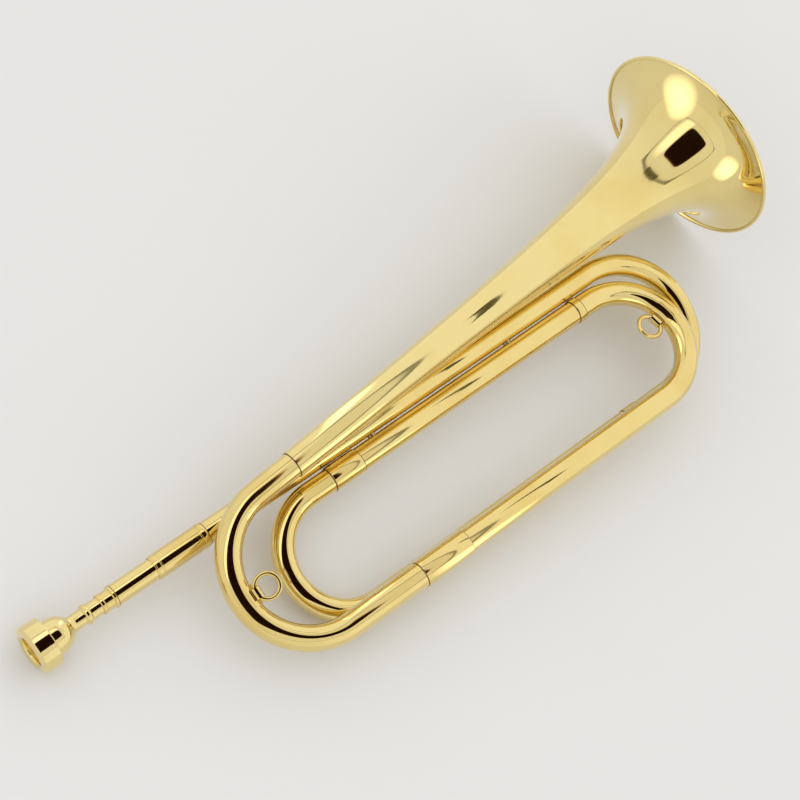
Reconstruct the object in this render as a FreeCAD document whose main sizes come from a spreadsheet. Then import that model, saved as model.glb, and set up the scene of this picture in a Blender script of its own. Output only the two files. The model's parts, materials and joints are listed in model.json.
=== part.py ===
"""Valveless two-coil bugle lying on its side, in millimetres, +Z up.

The instrument is laid out in its own axes first: X along the lead pipe towards the bell,
Y across the coil towards the bell side, Z up through the two layers of tube, and zero on the
lead pipe's axis. One rest placement then lays the whole instrument on the table, and the
origin is the centre of the finished bounding box's bottom face.
"""
import FreeCAD, Part
import math
import os

import Sketcher

Vector = FreeCAD.Vector
Rotation = FreeCAD.Rotation
Placement = FreeCAD.Placement

X_AXIS = Vector(1, 0, 0)
Y_AXIS = Vector(0, 1, 0)
Z_AXIS = Vector(0, 0, 1)

DRIVING_SIZES = (
    ("wall", 0.5, "wall of every drawn tube"),
    ("ferrule_wall", 0.45, "wall of a ferrule outside its tubes"),
    ("ferrule_edge", 0.2, "broken edge of a ferrule"),
    ("rear_ferrule_before", 4.0, "rear ferrule, reach over the rear long tube"),
    ("rear_ferrule_after", 5.0, "rear ferrule, reach over the first bow"),
    ("middle_ferrule_reach", 9.5, "middle ferrule, reach over each tube"),
    ("middle_ring_reach", 2.1, "narrow middle ring, reach over each tube"),
    ("front_ferrule_reach", 15.3, "front ferrule, reach over each tube"),
    ("shank_diameter", 11.9, "tuning shank, outside"),
    ("shank_start", -181.5, "mouth end of the tuning shank"),
    ("shank_end", -134.5, "inner end of the tuning shank"),
    ("sleeve_diameter", 13.8, "tuning sleeve, outside"),
    ("sleeve_bore", 12.0, "tuning sleeve, sliding bore"),
    ("sleeve_start", -157.2, "mouth end of the tuning sleeve"),
    ("sleeve_end", -124.8, "bell end of the tuning sleeve"),
    ("sleeve_lip", 0.8, "lowered lip at each end of the sleeve and beside its bands"),
    ("sleeve_band", 3.2, "from each end of the sleeve to the inner edge of its band"),
    ("sleeve_groove", 0.35, "depth of the sleeve's grooves"),
    ("receiver_collar", 10.6, "mouthpiece receiver, outside between its rings"),
    ("receiver_bead", 11.3, "ring at the mouth of the receiver"),
    ("receiver_flange", 12.6, "ring where the receiver enters the tuning shank"),
    ("receiver_back", 29.0, "receiver from its mouth to its inner end"),
    ("receiver_bore", 9.8, "receiver behind the mouthpiece's seat"),
    ("lead_diameter", 12.5, "lead pipe, outside"),
    ("lead_start", -133.0, "start of the lead pipe inside the sleeve"),
    ("first_diameter", 12.5, "first bow, outside"),
    ("first_centre", 137.5, "bend centre of the first bow along X"),
    ("first_leg_start", 113.0, "where the first bow meets its straight tubes"),
    ("rear_diameter", 12.6, "rear long tube, outside"),
    ("rear_across", -78.5, "rear long tube, axis across the coil"),
    ("second_diameter", 13.0, "inner left bow, outside"),
    ("second_centre", -67.3, "bend centre of the inner left bow along X"),
    ("second_leg_end", -43.5, "where the inner left bow meets its straight tubes"),
    ("middle_diameter", 13.3, "middle tube, outside"),
    ("middle_across", -13.5, "middle tube, axis across the coil"),
    ("third_diameter", 13.4, "inner right bow, outside"),
    ("third_centre", 129.5, "bend centre of the inner right bow along X"),
    ("third_leg_start", 120.5, "where the inner right bow meets its straight tubes"),
    ("front_diameter", 13.5, "front long tube, outside"),
    ("front_across", -79.4, "front long tube, axis across the coil"),
    ("front_height", 14.0, "front layer above the rear layer"),
    ("bell_bow_diameter", 14.1, "bell bow, outside"),
    ("bell_bow_centre", -91.5, "bend centre of the bell bow along X"),
    ("bell_bow_radius", 40.8, "bend radius of the bell bow"),
    ("bell_bow_leg_end", -30.5, "where the bell bow meets the front long tube"),
    ("bell_bow_outlet", 24.5, "straight stretch of the bell bow before the bell"),
    ("bell_climb", 4.6, "angle of the bell away from the lead pipe, degrees"),
    ("bell_length", 299.4, "bell from the bell bow to the rim wire's centre"),
    ("bell_rim_radius", 56.8, "bell at the rim wire's centre"),
    ("bell_flare_reach", 11.5, "distance that sets how late the bell flares"),
    ("bell_flare_power", 0.61, "exponent of the flare"),
    ("rim_wire_radius", 1.1, "rolled edge around the rim wire"),
    ("mouthpiece_tip", -231.3, "rim face of the mouthpiece along X"),
    ("rim_diameter", 27.0, "mouthpiece rim, outside"),
    ("cup_radius", 8.0, "mouthpiece cup at the rim"),
    ("throat_radius", 2.0, "mouthpiece throat"),
    ("bell_socket_depth", 8.0, "how far the bell slips over the bell bow"),
    ("mouthpiece_taper_gap", 0.05, "clearance of the mouthpiece shank in its seat"),
    ("ring_radius", 6.4, "lanyard ring, to the middle of its wire"),
    ("ring_wire_radius", 1.28, "lanyard ring wire"),
    ("ring_tilt", 12.0, "lanyard rings above the coil plane at rest, degrees"),
    ("barrel_radius", 2.75, "barrel that holds a lanyard ring, outside"),
    ("barrel_bore", 2.0, "barrel that holds a lanyard ring, radius of its hole"),
    ("barrel_length", 6.0, "barrel that holds a lanyard ring, length"),
    ("barrel_reach", 9.2, "from a bow's axis to the barrel on it"),
    ("saddle_length", 11.6, "foot of a ring saddle along its bow"),
    ("saddle_wrap", 9.6, "foot of a ring saddle around its bow"),
    ("saddle_plate", 0.8, "thickness of a ring saddle's foot"),
    ("saddle_neck", 3.4, "neck between the foot and the barrel, thickness"),
    ("left_barrel_rise", 40.0, "left barrel above the coil plane, degrees round its bow"),
    ("right_barrel_rise", 10.0, "right barrel above its bow's plane, degrees round its bow"),
    ("right_ring_turn", 8.0, "right saddle along its bow from the far end, degrees"),
    ("left_foot_lap", 0.0, "left saddle's foot beyond its barrel, degrees round its bow"),
    ("right_foot_lap", 28.0, "right saddle's foot beyond its barrel, degrees round its bow"),
    ("bridge_radius", 2.4, "solder bridge between tubes"),
    ("bridge_cutter", 12.0, "stretch of tube cleared round a solder bridge"),
    ("rest_tilt_along", -3.133, "rest attitude: turn about Y, degrees"),
    ("rest_tilt_across", 11.475, "rest attitude: turn about X, degrees"),
)


class Size:
    """A length that knows its number and the sheet expression that gives it."""

    def __init__(self, value, text):
        self.value = value
        self.text = text

    def _combine(self, other, sign, value):
        return Size(value, f"({self.text} {sign} {as_size(other).text})")

    def __add__(self, other):
        return self._combine(other, "+", self.value + as_size(other).value)

    def __sub__(self, other):
        return self._combine(other, "-", self.value - as_size(other).value)

    def __mul__(self, other):
        return self._combine(other, "*", self.value * as_size(other).value)

    def __truediv__(self, other):
        return self._combine(other, "/", self.value / as_size(other).value)

    def __neg__(self):
        return self * -1


def as_size(number):
    return number if isinstance(number, Size) else Size(float(number), repr(float(number)))


def make_sheet(doc):
    """Write the driving sizes into a sheet and return them by name."""
    sheet = doc.addObject("Spreadsheet::Sheet", "Dims")
    sizes = {}
    for row, (name, number, meaning) in enumerate(DRIVING_SIZES, start=1):
        sheet.set(f"A{row}", meaning)
        sheet.set(f"B{row}", str(number))
        sheet.setAlias(f"B{row}", name)
        sizes[name] = Size(float(number), f"Dims.{name}")
    return sizes


doc = FreeCAD.newDocument("bugle")
SIZES = make_sheet(doc)
doc.recompute()
pieces = []


def keep(piece, label, placement):
    """Register a finished sub-part at its place in the instrument's own axes."""
    piece.Label = label
    piece.Placement = placement
    pieces.append(piece)
    return piece


def origin_plane(body, role):
    return next(item for item in body.Origin.OriginFeatures if item.Role == role)


def new_sketch(body, name, role):
    sketch = body.newObject("Sketcher::SketchObject", name)
    sketch.AttachmentSupport = [(origin_plane(body, role), "")]
    sketch.MapMode = "FlatFace"
    return sketch


def bind(sketch, constraint, size):
    """Add a dimensional constraint and tie it to the sheet."""
    index = sketch.addConstraint(constraint)
    sketch.setExpression(f"Constraints[{index}]", as_size(size).text)


def add_circle(sketch, radius, across=0.0):
    """A circle centred on the sketch's first axis, its radius and offset tied to the sheet."""
    radius = as_size(radius)
    across = as_size(across)
    circle = sketch.addGeometry(Part.Circle(Vector(across.value, 0, 0), Z_AXIS, radius.value))
    bind(sketch, Sketcher.Constraint("Radius", circle, radius.value), radius)
    if across.value:
        bind(sketch, Sketcher.Constraint("DistanceX", -1, 1, circle, 3, across.value), across)
        sketch.addConstraint(Sketcher.Constraint("PointOnObject", circle, 3, -1))
    else:
        sketch.addConstraint(Sketcher.Constraint("Coincident", circle, 3, -1, 1))
    return circle


def add_outline(sketch, corners):
    """A closed outline of straight edges whose corners are tied to the sheet."""
    corners = [(as_size(along), as_size(out)) for along, out in corners]
    points = [Vector(along.value, out.value, 0) for along, out in corners]
    first = sketch.GeometryCount
    for index, point in enumerate(points):
        sketch.addGeometry(Part.LineSegment(point, points[(index + 1) % len(points)]))
    for index, (along, out) in enumerate(corners):
        edge = first + index
        following = first + (index + 1) % len(corners)
        sketch.addConstraint(Sketcher.Constraint("Coincident", edge, 2, following, 1))
        bind(sketch, Sketcher.Constraint("DistanceX", -1, 1, edge, 1, along.value), along)
        bind(sketch, Sketcher.Constraint("DistanceY", -1, 1, edge, 1, out.value), out)


def revolve(body, sketch, angle=360.0, about="H_Axis"):
    feature = body.newObject("PartDesign::Revolution", "Turned")
    feature.Profile = sketch
    feature.ReferenceAxis = (sketch, [about])
    feature.Angle = angle
    return feature


def tube(label, start, end, diameter, across=0.0, height=0.0):
    """A straight tube along X between two stations."""
    body = doc.addObject("PartDesign::Body", label)
    section = new_sketch(body, "Section", "YZ_Plane")
    add_circle(section, diameter / 2)
    add_circle(section, diameter / 2 - SIZES["wall"])
    pad = body.newObject("PartDesign::Pad", "Length")
    pad.Profile = section
    pad.setExpression("Length", (end - start).text)
    place = Vector(start.value, as_size(across).value, as_size(height).value)
    return keep(body, label, Placement(place, Rotation()))


def ferrule(label, start, end, before, after, joint, across, height):
    """A sleeve over the joint of two tubes, bored to each of them, with broken edges."""
    larger = before if before.value > after.value else after
    outer = larger / 2 + SIZES["ferrule_wall"]
    edge = SIZES["ferrule_edge"]
    body = doc.addObject("PartDesign::Body", label)
    outline = new_sketch(body, "Outline", "XY_Plane")
    add_outline(outline, (
        (0.0, before / 2),
        (0.0, outer - edge),
        (edge, outer),
        (end - start - edge, outer),
        (end - start, outer - edge),
        (end - start, after / 2),
        (joint - start, after / 2),
        (joint - start, before / 2),
    ))
    revolve(body, outline)
    place = Vector(start.value, as_size(across).value, as_size(height).value)
    return keep(body, label, Placement(place, Rotation()))


def turned(label, corners, placement=Placement()):
    """A ring-shaped piece turned about X."""
    body = doc.addObject("PartDesign::Body", label)
    outline = new_sketch(body, "Outline", "XY_Plane")
    add_outline(outline, corners)
    revolve(body, outline)
    return keep(body, label, placement)


def bow(label, diameter, radius, turn, leg_in, leg_out, placement):
    """A bent tube: a straight leg along +X, a left-hand bend, and a second leg."""
    body = doc.addObject("PartDesign::Body", label)
    section = new_sketch(body, "Section", "YZ_Plane")
    add_circle(section, diameter / 2)
    add_circle(section, diameter / 2 - SIZES["wall"])
    path = new_sketch(body, "Path", "XY_Plane")
    swept = math.radians(turn.value)
    bend_start = Vector(leg_in.value, 0, 0)
    centre = bend_start + Y_AXIS * radius.value
    bend_end = centre + Vector(math.sin(swept), -math.cos(swept), 0) * radius.value
    finish = bend_end + Vector(math.cos(swept), math.sin(swept), 0) * leg_out.value
    first = path.addGeometry(Part.LineSegment(Vector(), bend_start))
    circle = Part.Circle(centre, Z_AXIS, radius.value)
    bend = path.addGeometry(Part.ArcOfCircle(circle, -math.pi / 2, swept - math.pi / 2))
    last = path.addGeometry(Part.LineSegment(bend_end, finish))
    path.addConstraint(Sketcher.Constraint("Coincident", first, 1, -1, 1))
    path.addConstraint(Sketcher.Constraint("Horizontal", first))
    path.addConstraint(Sketcher.Constraint("Tangent", first, 2, bend, 1))
    path.addConstraint(Sketcher.Constraint("Tangent", bend, 2, last, 1))
    bind(path, Sketcher.Constraint("Distance", first, leg_in.value), leg_in)
    bind(path, Sketcher.Constraint("Radius", bend, radius.value), radius)
    bind(path, Sketcher.Constraint("Distance", last, leg_out.value), leg_out)
    pipe = body.newObject("PartDesign::AdditivePipe", "Bend")
    pipe.Profile = section
    pipe.Spine = path
    return keep(body, label, placement)


def right_bow_place(start_x, start, end):
    """Where a bow starts on one tube heading for the bell and turns over to another."""
    chord = math.degrees(math.atan2(end[1] - start[1], end[0] - start[0]))
    return Placement(Vector(start_x, start[0], start[1]), Rotation(X_AXIS, chord))


def left_bow_place(start_x, start, end):
    """The same for a bow that starts heading for the mouthpiece."""
    chord = math.degrees(math.atan2(start[1] - end[1], start[0] - end[0]))
    about_x = Rotation(X_AXIS, chord)
    return Placement(Vector(start_x, start[0], start[1]), about_x.multiply(Rotation(Z_AXIS, 180)))


def chord_radius(start, end):
    return math.hypot(end[0] - start[0], end[1] - start[1]) / 2


S = SIZES
CLIMB = math.radians(S["bell_climb"].value)
LEAD = (0.0, 0.0)
REAR = (S["rear_across"].value, 0.0)
MIDDLE = (S["middle_across"].value, 0.0)
FRONT = (S["front_across"].value, S["front_height"].value)
BELL_BOW_CENTRE = Vector(S["bell_bow_centre"].value, FRONT[0] + S["bell_bow_radius"].value, FRONT[1])
BELL_AXIS = Vector(math.cos(CLIMB), math.sin(CLIMB), 0)
BEND_END = BELL_BOW_CENTRE + Vector(-math.sin(CLIMB), math.cos(CLIMB), 0) * S["bell_bow_radius"].value
BELL_START = BEND_END + BELL_AXIS * S["bell_bow_outlet"].value
BELL_PLACE = Placement(BELL_START, Rotation(Z_AXIS, S["bell_climb"].value))
HERE = Placement()


def along_x(station):
    """A placement on the lead pipe's axis."""
    return Placement(X_AXIS * as_size(station).value, Rotation())


def build_long_tubes():
    """The four straight tubes of the two coils."""
    tube("lead_pipe", S["lead_start"], S["first_leg_start"], S["lead_diameter"])
    tube("rear_long_tube", S["second_leg_end"], S["first_leg_start"], S["rear_diameter"],
         S["rear_across"])
    tube("middle_tube", S["second_leg_end"], S["third_leg_start"], S["middle_diameter"],
         S["middle_across"])
    tube("front_long_tube", S["bell_bow_leg_end"], S["third_leg_start"], S["front_diameter"],
         S["front_across"], S["front_height"])


def build_bows():
    """The four bends, each with its short straight legs."""
    half_turn = as_size(180.0)
    legs = S["first_centre"] - S["first_leg_start"]
    bow("outer_right_bow", S["first_diameter"], -S["rear_across"] / 2, half_turn, legs, legs,
        right_bow_place(S["first_leg_start"].value, LEAD, REAR))
    legs = S["second_leg_end"] - S["second_centre"]
    radius = (S["middle_across"] - S["rear_across"]) / 2
    bow("inner_left_bow", S["second_diameter"], radius, half_turn, legs, legs,
        left_bow_place(S["second_leg_end"].value, REAR, MIDDLE))
    legs = S["third_centre"] - S["third_leg_start"]
    radius = as_size(chord_radius(MIDDLE, FRONT))
    bow("inner_right_bow", S["third_diameter"], radius, half_turn, legs, legs,
        right_bow_place(S["third_leg_start"].value, MIDDLE, FRONT))
    bell_start = (BELL_START.y, BELL_START.z)
    bow("bell_bow", S["bell_bow_diameter"], S["bell_bow_radius"], half_turn - S["bell_climb"],
        S["bell_bow_leg_end"] - S["bell_bow_centre"],
        S["bell_bow_outlet"] + S["bell_socket_depth"],
        left_bow_place(S["bell_bow_leg_end"].value, FRONT, bell_start))


def build_ferrules():
    """The sleeves that show over the soldered joints."""
    joint = S["first_leg_start"]
    ferrule("rear_tube_ferrule", joint - S["rear_ferrule_before"], joint + S["rear_ferrule_after"],
            S["rear_diameter"], S["first_diameter"], joint, *REAR)
    joint = S["second_leg_end"]
    reach = S["middle_ferrule_reach"]
    ferrule("middle_tube_ferrule", joint - reach, joint + reach, S["second_diameter"],
            S["middle_diameter"], joint, *MIDDLE)
    joint = S["third_leg_start"]
    reach = S["middle_ring_reach"]
    ferrule("middle_tube_ring", joint - reach, joint + reach, S["middle_diameter"],
            S["third_diameter"], joint, *MIDDLE)
    joint = S["bell_bow_leg_end"]
    reach = S["front_ferrule_reach"]
    ferrule("front_tube_ferrule", joint - reach, joint + reach, S["bell_bow_diameter"],
            S["front_diameter"], joint, *FRONT)


def seat_radius(depth):
    """The radius of the mouthpiece's seat, which narrows with depth from its mouth."""
    mouth_radius = 4.78
    taper = 0.0187
    return mouth_radius - taper * depth


COLLAR_LENGTH = 8.5
SEAT_LENGTH = 24.0


def build_tuning_slide():
    """The sliding shank, the sleeve it slides in, and the seat for the mouthpiece."""
    tube("tuning_shank", S["shank_start"], S["shank_end"], S["shank_diameter"])
    length = S["sleeve_end"] - S["sleeve_start"]
    step = S["lead_start"] - S["sleeve_start"]
    outer = S["sleeve_diameter"] / 2
    low = outer - S["sleeve_groove"]
    waist = outer - 0.1
    lip = S["sleeve_lip"]
    band = S["sleeve_band"]
    turned("tuning_sleeve", (
        (0.0, S["sleeve_bore"] / 2),
        (0.0, low),
        (lip, low),
        (lip, outer),
        (band, outer),
        (band, low),
        (band + lip, low),
        (band + lip, waist),
        (length - (band + lip), waist),
        (length - (band + lip), low),
        (length - band, low),
        (length - band, outer),
        (length - lip, outer),
        (length, low),
        (length, S["lead_diameter"] / 2),
        (step, S["lead_diameter"] / 2),
        (step, S["sleeve_bore"] / 2),
    ), along_x(S["sleeve_start"]))
    tube_bore = S["shank_diameter"] / 2 - S["wall"]
    collar = S["receiver_collar"] / 2
    bead = S["receiver_bead"] / 2
    flange = S["receiver_flange"] / 2
    turned("mouthpiece_receiver", (
        (0.0, seat_radius(0.0)),
        (0.0, collar),
        (0.4, bead),
        (1.8, bead),
        (2.2, collar),
        (6.8, collar),
        (7.2, flange),
        (COLLAR_LENGTH, flange),
        (COLLAR_LENGTH, tube_bore),
        (S["receiver_back"], tube_bore),
        (S["receiver_back"], S["receiver_bore"] / 2),
        (SEAT_LENGTH, S["receiver_bore"] / 2),
        (SEAT_LENGTH, seat_radius(SEAT_LENGTH)),
    ), along_x(S["shank_start"] - COLLAR_LENGTH))


def curved_sketch(body, name, edges):
    sketch = new_sketch(body, name, "XY_Plane")
    for edge in edges:
        sketch.addGeometry(edge)
    return sketch


def smooth(points):
    """A smooth curve through points of (along, out)."""
    curve = Part.BSplineCurve()
    curve.interpolate([Vector(along, out, 0) for along, out in points])
    return curve


def straight(start, end):
    return Part.LineSegment(Vector(*start, 0), Vector(*end, 0))


def round_through(start, middle, end):
    return Part.Arc(Vector(*start, 0), Vector(*middle, 0), Vector(*end, 0))


def build_mouthpiece():
    """Rim, cup, throat, backbore and tapered shank turned from one bar."""
    rim = S["rim_diameter"].value / 2
    throat = S["throat_radius"].value
    gap = S["mouthpiece_taper_gap"].value
    seat_mouth = S["shank_start"].value - COLLAR_LENGTH - S["mouthpiece_tip"].value
    shank_start = 35.2
    shank_end = seat_mouth + 22.5
    lip = (1.3, S["cup_radius"].value)
    crest = (0.0, 10.2)
    ridge = (1.0, rim - 0.5)
    edge = (2.0, rim)
    back = (10.2, rim)
    back_face = (10.95, rim - 0.7)
    step_foot = (10.95, 10.25)
    bowl = (11.3, 9.95)
    neck = (26.2, 4.4)
    bead_start = (31.6, 4.4)
    bead_end = (shank_start, seat_radius(shank_start - seat_mouth) - gap)
    tip = (shank_end, seat_radius(shank_end - seat_mouth) - gap)
    bore_end = (shank_end, 3.6)
    throat_end = (22.0, throat)
    throat_start = (16.0, throat)
    body = doc.addObject("PartDesign::Body", "mouthpiece")
    outline = curved_sketch(body, "Outline", (
        round_through(lip, (0.38, 8.9), crest),
        round_through(crest, (0.26, 11.69), ridge),
        round_through(ridge, (1.45, rim - 0.14), edge),
        straight(edge, back),
        round_through(back, (10.73, rim - 0.22), back_face),
        straight(back_face, step_foot),
        round_through(step_foot, (11.06, 10.04), bowl),
        smooth((bowl, (14.5, 9.86), (17.5, 9.35), (20.2, 8.15), (22.3, 6.45), (23.7, 5.1), neck)),
        straight(neck, bead_start),
        round_through(bead_start, (33.4, 5.6), bead_end),
        straight(bead_end, tip),
        straight(tip, bore_end),
        straight(bore_end, throat_end),
        straight(throat_end, throat_start),
        smooth((throat_start, (13.6, 3.6), (9.0, 6.4), (4.5, 7.6), lip)),
    ))
    revolve(body, outline)
    keep(body, "mouthpiece", along_x(S["mouthpiece_tip"]))


def bell_profile():
    """Outer and inner points of the bell: a power law that flares late."""
    length = S["bell_length"].value
    reach = S["bell_flare_reach"].value
    power = S["bell_flare_power"].value
    rim = S["bell_rim_radius"].value
    wall = S["wall"].value
    steps = 16
    outer = []
    inner = []
    for step in range(steps + 1):
        to_rim = (length + reach) * (reach / (length + reach)) ** (step / steps) - reach
        radius = rim * (reach / (to_rim + reach)) ** power
        slope = power * radius / (to_rim + reach)
        lean = math.hypot(1, slope)
        outer.append((length - to_rim, radius))
        inner.append((length - to_rim + wall * slope / lean, radius - wall / lean))
    return outer, inner


def rim_circle(sketch):
    """The round section of the rolled edge, at the end of the bell."""
    along = S["bell_length"]
    out = S["bell_rim_radius"]
    radius = S["rim_wire_radius"]
    centre = Vector(along.value, out.value, 0)
    circle = sketch.addGeometry(Part.Circle(centre, Z_AXIS, radius.value))
    bind(sketch, Sketcher.Constraint("Radius", circle, radius.value), radius)
    bind(sketch, Sketcher.Constraint("DistanceX", -1, 1, circle, 3, along.value), along)
    bind(sketch, Sketcher.Constraint("DistanceY", -1, 1, circle, 3, out.value), out)


def build_bell():
    """The bell, its socket over the bell bow, and the rolled edge around its rim."""
    outer, inner = bell_profile()
    socket = S["bell_bow_diameter"].value / 2
    depth = S["bell_socket_depth"].value
    throat = (depth, socket - S["wall"].value)
    inner = [throat] + [point for point in inner if point[0] > 3 * depth]
    body = doc.addObject("PartDesign::Body", "bell")
    outline = curved_sketch(body, "Outline", (
        smooth(outer),
        straight(outer[-1], inner[-1]),
        smooth(inner),
        straight(throat, (depth, socket)),
        straight((depth, socket), (0.0, socket)),
        straight((0.0, socket), outer[0]),
    ))
    revolve(body, outline)
    seat = new_sketch(body, "RimSeat", "XY_Plane")
    rim_circle(seat)
    groove = body.newObject("PartDesign::Groove", "RimGroove")
    groove.Profile = seat
    groove.ReferenceAxis = (seat, ["H_Axis"])
    groove.Angle = 360.0
    keep(body, "bell", BELL_PLACE)

    wire = doc.addObject("PartDesign::Body", "bell_rim_wire")
    section = new_sketch(wire, "Section", "XY_Plane")
    rim_circle(section)
    revolve(wire, section)
    keep(wire, "bell_rim_wire", BELL_PLACE)


def primitive(kind, name, sizes, placement):
    """A Part primitive whose named sizes are tied to the sheet."""
    solid = doc.addObject(f"Part::{kind}", name)
    for key, size in sizes.items():
        solid.setExpression(key, as_size(size).text)
    solid.Placement = placement
    return solid


def combine(kind, name, tools, placement=HERE):
    """A Part boolean of several solids."""
    result = doc.addObject(f"Part::{kind}", name)
    if kind == "Cut":
        result.Base, result.Tool = tools
    else:
        result.Shapes = tools
    result.Placement = placement
    return result


def build_lanyard_ring(side, bow_place, bow_radius, tube_diameter, foot, inward, along):
    """A wire ring in a short barrel, on a saddle soldered round the inner side of a bow.

    foot is the point of the bow's axis under the saddle, inward the direction from there to
    the bow's centre and along the bow's direction.
    """
    rise = math.radians(S[f"{side}_barrel_rise"].value)
    tube_radius = tube_diameter / 2
    reach = S["barrel_reach"]
    up = inward.cross(along)
    outward = inward * math.cos(rise) + up * math.sin(rise)
    frame = Placement(foot, Rotation(outward, along, outward.cross(along), "XYZ"))
    at_barrel = frame.multiply(Placement(X_AXIS * reach.value, Rotation()))
    lengthwise = at_barrel.multiply(
        Placement(Y_AXIS * (-S["barrel_length"].value / 2), Rotation(X_AXIS, -90)))

    plate = doc.addObject("PartDesign::Body", f"{side}_plate_blank")
    outline = new_sketch(plate, "Outline", "XY_Plane")
    half_foot = S["saddle_length"] / 2
    plate_top = tube_radius + S["saddle_plate"]
    add_outline(outline, (
        (0.5, -half_foot),
        (0.5, half_foot),
        (plate_top + 1, half_foot),
        (plate_top + 1, -half_foot),
    ))
    pad = plate.newObject("PartDesign::Pad", "Wrap")
    pad.Profile = outline
    pad.setExpression("Length", S["saddle_wrap"].text)
    pad.Midplane = True
    lap = Rotation(Y_AXIS, -S[f"{side}_foot_lap"].value)
    plate.Placement = frame.multiply(Placement(HERE.Base, lap))
    skin = primitive("Torus", f"{side}_skin", {
        "Radius1": bow_radius,
        "Radius2": plate_top,
    }, bow_place)
    foot_plate = combine("MultiCommon", f"{side}_foot_plate", [plate, skin])

    neck = doc.addObject("PartDesign::Body", f"{side}_neck_blank")
    outline = new_sketch(neck, "Outline", "XY_Plane")
    half_barrel = S["barrel_length"] / 2
    neck_foot = half_barrel + 0.8
    add_outline(outline, (
        (tube_radius - 1, -neck_foot),
        (tube_radius - 1, neck_foot),
        (reach - S["barrel_bore"], half_barrel),
        (reach, half_barrel),
        (reach, -half_barrel),
        (reach - S["barrel_bore"], -half_barrel),
    ))
    pad = neck.newObject("PartDesign::Pad", "Thickness")
    pad.Profile = outline
    pad.setExpression("Length", S["saddle_neck"].text)
    pad.Midplane = True
    neck.Placement = frame

    barrel = primitive("Cylinder", f"{side}_barrel", {
        "Radius": S["barrel_radius"],
        "Height": S["barrel_length"],
    }, lengthwise)
    bore = primitive("Cylinder", f"{side}_bore", {
        "Radius": S["barrel_bore"],
        "Height": S["barrel_length"],
    }, lengthwise)
    bend = primitive("Torus", f"{side}_bend", {
        "Radius1": bow_radius,
        "Radius2": tube_radius,
    }, bow_place)
    solid = combine("MultiFuse", f"{side}_saddle_solid", [foot_plate, neck, barrel])
    removed = combine("MultiFuse", f"{side}_saddle_removed", [bore, bend])
    saddle = combine("Cut", f"{side}_saddle", (solid, removed))
    keep(saddle, f"{side}_ring_saddle", HERE)

    tilt = math.radians(S["ring_tilt"].value)
    sag = S["ring_radius"].value - math.sqrt(S["ring_radius"].value ** 2
                                             - (S["barrel_length"].value / 2) ** 2)
    lean = inward * math.cos(tilt) + up * math.sin(tilt)
    centre = at_barrel.Base + lean * (S["ring_radius"].value - sag / 2)
    ring = primitive("Torus", f"{side}_ring", {
        "Radius1": S["ring_radius"],
        "Radius2": S["ring_wire_radius"],
    }, HERE)
    keep(ring, f"{side}_lanyard_ring",
         Placement(centre, Rotation(lean, along, lean.cross(along), "XYZ")))
    print(f"{side} ring hinge", [round(value, 4) for value in at_barrel.Base],
          "axis", [round(-value, 6) for value in along],
          "centre", [round(value, 4) for value in centre],
          "across", [round(value, 6) for value in lean.cross(along)])


def build_lanyard_rings():
    """The two rings inside the coil, one on each side."""
    bow_edge = BELL_BOW_CENTRE - X_AXIS * S["bell_bow_radius"].value
    build_lanyard_ring("left", Placement(BELL_BOW_CENTRE, Rotation()), S["bell_bow_radius"],
                       S["bell_bow_diameter"], bow_edge, X_AXIS, Y_AXIS)
    radius = chord_radius(MIDDLE, FRONT)
    centre = Vector(S["third_centre"].value, (MIDDLE[0] + FRONT[0]) / 2, (MIDDLE[1] + FRONT[1]) / 2)
    slope = math.atan2(FRONT[1] - MIDDLE[1], FRONT[0] - MIDDLE[0])
    turn = math.radians(S["right_ring_turn"].value)
    to_middle = Vector(0, -math.cos(slope), -math.sin(slope))
    inward = X_AXIS * -math.cos(turn) - to_middle * math.sin(turn)
    along = X_AXIS * math.sin(turn) - to_middle * math.cos(turn)
    build_lanyard_ring("right", Placement(centre, Rotation(X_AXIS, math.degrees(slope))),
                       as_size(radius), S["third_diameter"], centre - inward * radius, inward, along)


def build_solder_bridges():
    """Short bars of solder that hold tubes lying side by side."""
    pairs = (
        (-20.0, LEAD, MIDDLE, "lead_diameter", "middle_diameter"),
        (75.0, LEAD, MIDDLE, "lead_diameter", "middle_diameter"),
        (5.0, REAR, FRONT, "rear_diameter", "front_diameter"),
        (95.0, REAR, FRONT, "rear_diameter", "front_diameter"),
    )
    bars = []
    for index, (station, low, high, low_size, high_size) in enumerate(pairs):
        start = Vector(station, *low)
        span = Vector(0, high[0] - low[0], high[1] - low[1])
        cutter_start = station - S["bridge_cutter"].value / 2
        bar = primitive("Cylinder", f"bridge_bar_{index}", {
            "Radius": S["bridge_radius"],
            "Height": span.Length,
        }, Placement(start, Rotation(Z_AXIS, span)))
        tools = []
        for (across, height), size in ((low, low_size), (high, high_size)):
            tools.append(primitive("Cylinder", f"bridge_tube_{index}_{size}", {
                "Radius": S[size] / 2,
                "Height": S["bridge_cutter"],
            }, Placement(Vector(cutter_start, across, height), Rotation(Y_AXIS, 90))))
        tubes = combine("MultiFuse", f"bridge_tubes_{index}", tools)
        bars.append(combine("Cut", f"bridge_{index}", (bar, tubes)))
    group = doc.addObject("Part::Compound", "solder_bridges")
    group.Links = bars
    keep(group, "solder_bridges", HERE)


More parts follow.
